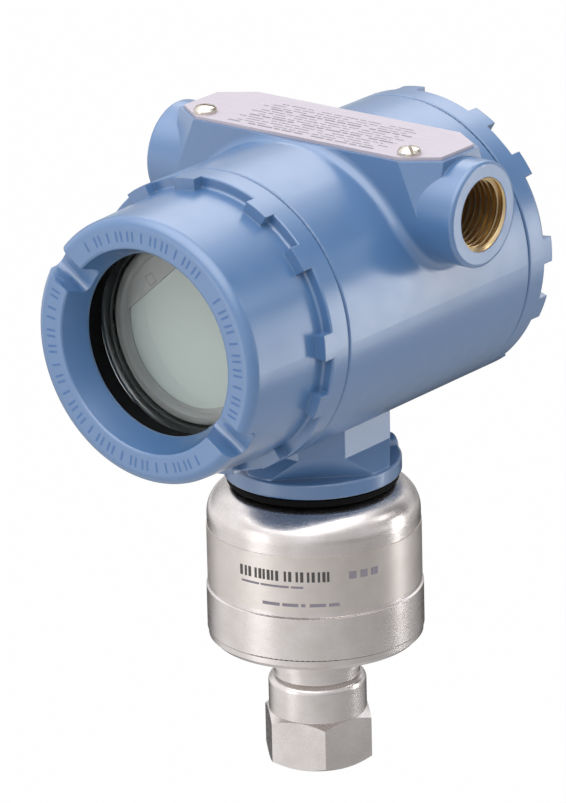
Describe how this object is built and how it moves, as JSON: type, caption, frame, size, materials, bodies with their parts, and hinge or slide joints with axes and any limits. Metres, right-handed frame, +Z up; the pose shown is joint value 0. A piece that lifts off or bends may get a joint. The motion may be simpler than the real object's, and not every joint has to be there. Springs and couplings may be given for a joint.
{
  "type": "pressure transmitter",
  "caption": "In-line pressure transmitter: painted housing with screwed window and terminal covers, side conduit entries and a nameplate, on a stainless module with a hex process connection.",
  "frame": {"origin": "centre of the process connection's mouth, at the bottom face of the hex", "axes": "+Z up through the sensor module and housing, -Y out of the display window, +Y out of the terminal cover, +X and -X out of the conduit entries"},
  "size_m": [0.107, 0.1332, 0.1875],
  "materials": {
    "housing_paint": "semi-gloss light blue powder coat on cast aluminium",
    "stainless": "satin turned stainless steel",
    "retainer_ring": "machined",
    "contact_metal": "plated pins",
    "name_plate": "satin stainless sheet",
    "label_foil": "matt metal foil",
    "seal_rubber": "matt black rubber",
    "window_glass": "clear toughened glass",
    "display_panel": "pale grey-green display",
    "display_bezel": "grey-brown moulding",
    "dark_moulding": "black moulding",
    "circuit_board": "coated circuit board",
    "button_plastic": "pale moulding"
  },
  "bodies": {
    "module": {"process_connection": "stainless", "isolating_diaphragm": "stainless", "sensor_capsule": "stainless", "header_pins": "contact_metal", "module_board": "circuit_board", "module_base": "stainless", "module_can": "stainless", "module_neck": "stainless", "cable_plug": "dark_moulding", "module_label_band": "label_foil", "neck_seal": "seal_rubber"},
    "housing": {"housing": "housing_paint", "rotation_set_screw": "stainless", "nameplate": "name_plate", "nameplate_screws": "stainless", "bulkhead_feedthrough": "dark_moulding", "electronics_cup": "dark_moulding", "electronics_board": "circuit_board", "board_screws": "stainless", "display_body": "dark_moulding", "display_bezel": "display_bezel", "display_panel": "display_panel", "display_screws": "stainless", "terminal_block": "dark_moulding", "terminal_screws": "stainless", "terminal_block_screws": "stainless", "ground_terminal": "stainless"},
    "zero_button": {"zero_button": "button_plastic"},
    "span_button": {"span_button": "button_plastic"},
    "front_thread": {"front_cover_seal": "seal_rubber"},
    "front_cover": {"front_cover": "housing_paint", "window_seal": "seal_rubber", "window_glass": "window_glass", "window_retainer": "retainer_ring"},
    "rear_thread": {"rear_cover_seal": "seal_rubber"},
    "rear_cover": {"rear_cover": "housing_paint"}
  },
  "joints": [
    {"name": "housing_rotation", "type": "hinge", "parent": "module", "child": "housing", "pos_m": [0, 0, 0.09], "axis": [0, 0, 1], "range_deg": [-180, 180]},
    {"name": "front_cover_travel", "type": "slide", "parent": "housing", "child": "front_thread", "axis": [0, -1, 0], "range_m": [0, 0.014]},
    {"name": "front_cover_turn", "type": "hinge", "parent": "front_thread", "child": "front_cover", "pos_m": [0, -0.036, 0.142], "axis": [0, -1, 0], "range_deg": [0, 2520]},
    {"name": "rear_cover_travel", "type": "slide", "parent": "housing", "child": "rear_thread", "axis": [0, 1, 0], "range_m": [0, 0.014]},
    {"name": "rear_cover_turn", "type": "hinge", "parent": "rear_thread", "child": "rear_cover", "pos_m": [0, 0.047, 0.142], "axis": [0, 1, 0], "range_deg": [0, 2520]},
    {"name": "zero_button_press", "type": "slide", "parent": "housing", "child": "zero_button", "axis": [0, 0, -1], "range_m": [0, 0.0012]},
    {"name": "span_button_press", "type": "slide", "parent": "housing", "child": "span_button", "axis": [0, 0, -1], "range_m": [0, 0.0012]}
  ],
  "couplings": [
    {"joint": "front_cover_travel", "follows": "front_cover_turn", "m_per_rad": 0.00031831},
    {"joint": "rear_cover_travel", "follows": "rear_cover_turn", "m_per_rad": 0.00031831}
  ]
}
